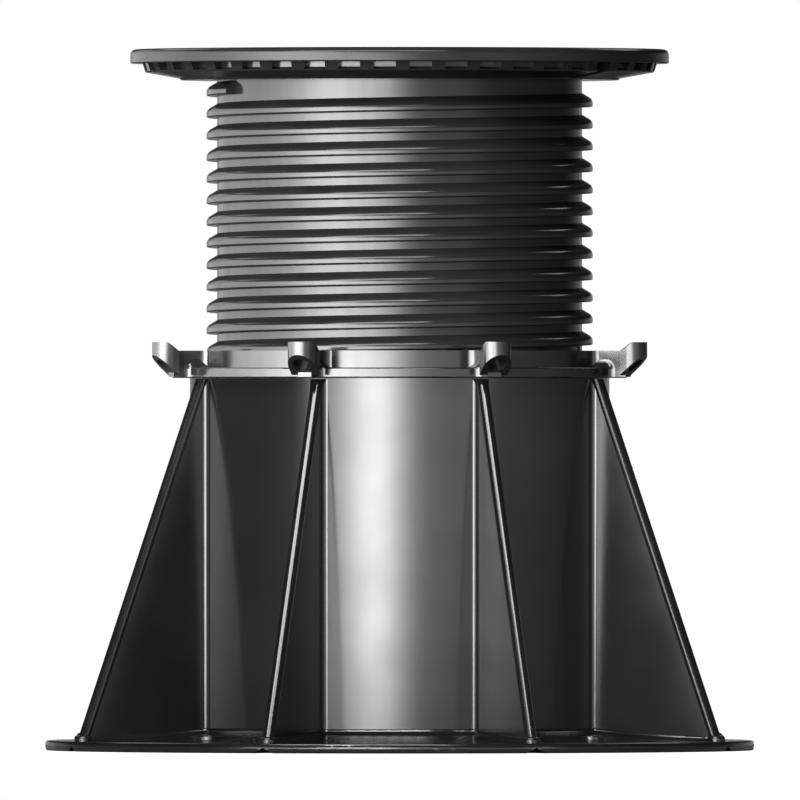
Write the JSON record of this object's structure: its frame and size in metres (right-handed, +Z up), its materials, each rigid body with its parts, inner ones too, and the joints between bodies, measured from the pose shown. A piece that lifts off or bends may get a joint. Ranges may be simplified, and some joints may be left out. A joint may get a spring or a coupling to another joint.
{
  "type": "adjustable deck pedestal",
  "caption": "Adjustable screw-jack pedestal in black plastic that carries raised decking or paving above a flat roof, with a gusseted base, a ring nut and a turning head.",
  "frame": {"origin": "centre of the base plate's underside", "axes": "+Z up along the screw's axis, -Y the front, which the picture shows, +X to its right"},
  "size_m": [0.2, 0.2, 0.1977],
  "materials": {
    "base_plastic": "satin",
    "nut_plastic": "satin",
    "stem_plastic": "satin",
    "head_plastic": "satin"
  },
  "bodies": {
    "base": {"base": "base_plastic"},
    "ring_nut": {"ring_nut": "nut_plastic"},
    "threaded_stem": {"threaded_stem": "stem_plastic"},
    "head_plate": {"head_plate": "head_plastic"}
  },
  "joints": [
    {"name": "nut_turn", "type": "hinge", "parent": "base", "child": "ring_nut", "pos_m": [0, 0, 0.106], "axis": [0, 0, 1], "range_deg": [-1180, 4426]},
    {"name": "stem_lift", "type": "slide", "parent": "base", "child": "threaded_stem", "axis": [0, 0, 1], "range_m": [-0.075, 0.02]},
    {"name": "head_turn", "type": "hinge", "parent": "threaded_stem", "child": "head_plate", "pos_m": [0, 0, 0.1937], "axis": [0, 0, 1], "continuous": true}
  ],
  "couplings": [
    {"joint": "stem_lift", "follows": "nut_turn", "m_per_rad": -0.00097085}
  ]
}
